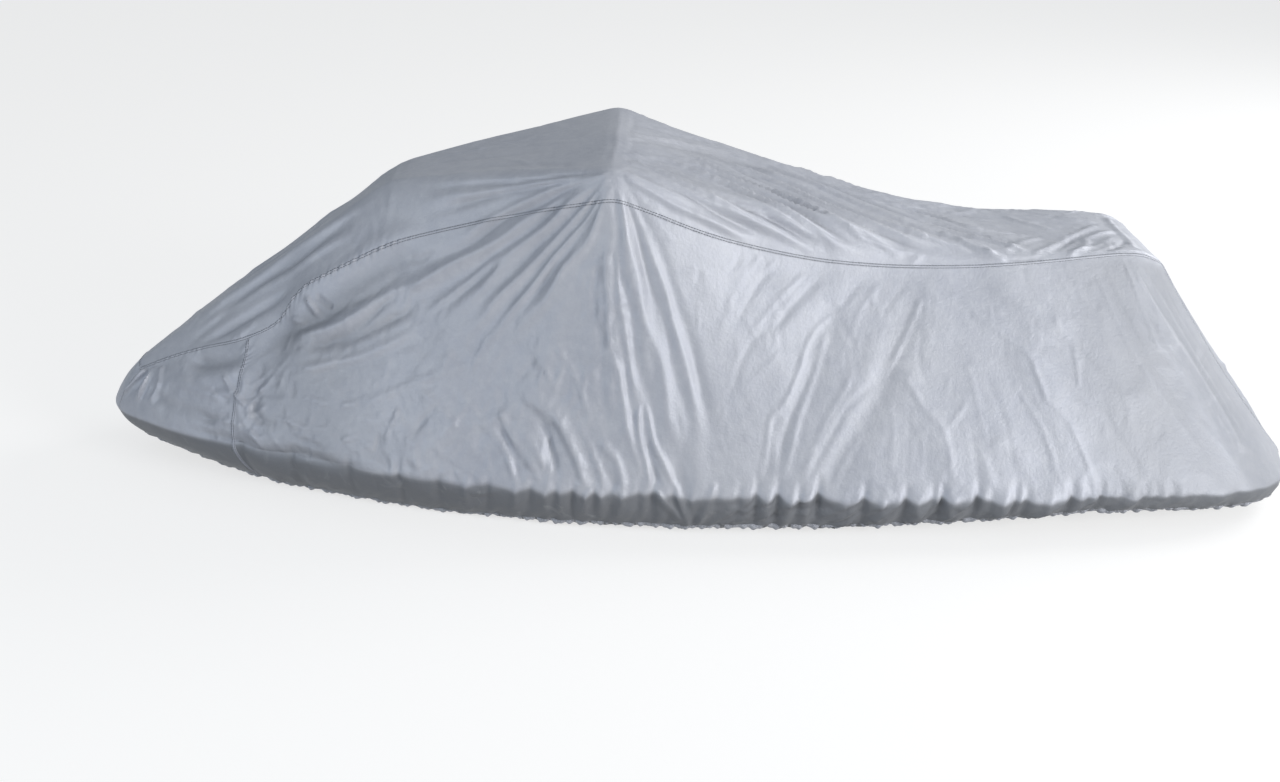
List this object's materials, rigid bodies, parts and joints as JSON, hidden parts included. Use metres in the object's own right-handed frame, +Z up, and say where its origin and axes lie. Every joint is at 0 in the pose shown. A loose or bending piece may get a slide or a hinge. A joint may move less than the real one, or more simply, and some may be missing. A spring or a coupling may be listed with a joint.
{
  "type": "personal watercraft cover",
  "caption": "Fitted cloth cover for a personal watercraft, peaked over the handlebars, sloping to the bow and dipping over the seat, drawn in under the rim by its hem.",
  "frame": {"origin": "under the roof of the cover, on its centre plane, midway between the two handlebar peaks, where the craft carries it", "axes": "+X runs aft from the bow, +Y to starboard, +Z up"},
  "size_m": [3.3473, 1.185, 0.9342],
  "materials": {
    "silver_cloth": "silver coated woven polyester with a soft metallic sheen"
  },
  "bodies": {
    "root": {"top_panel": "silver_cloth", "bow_panel": "silver_cloth", "port_side_panel": "silver_cloth", "starboard_side_panel": "silver_cloth"}
  },
  "joints": []
}
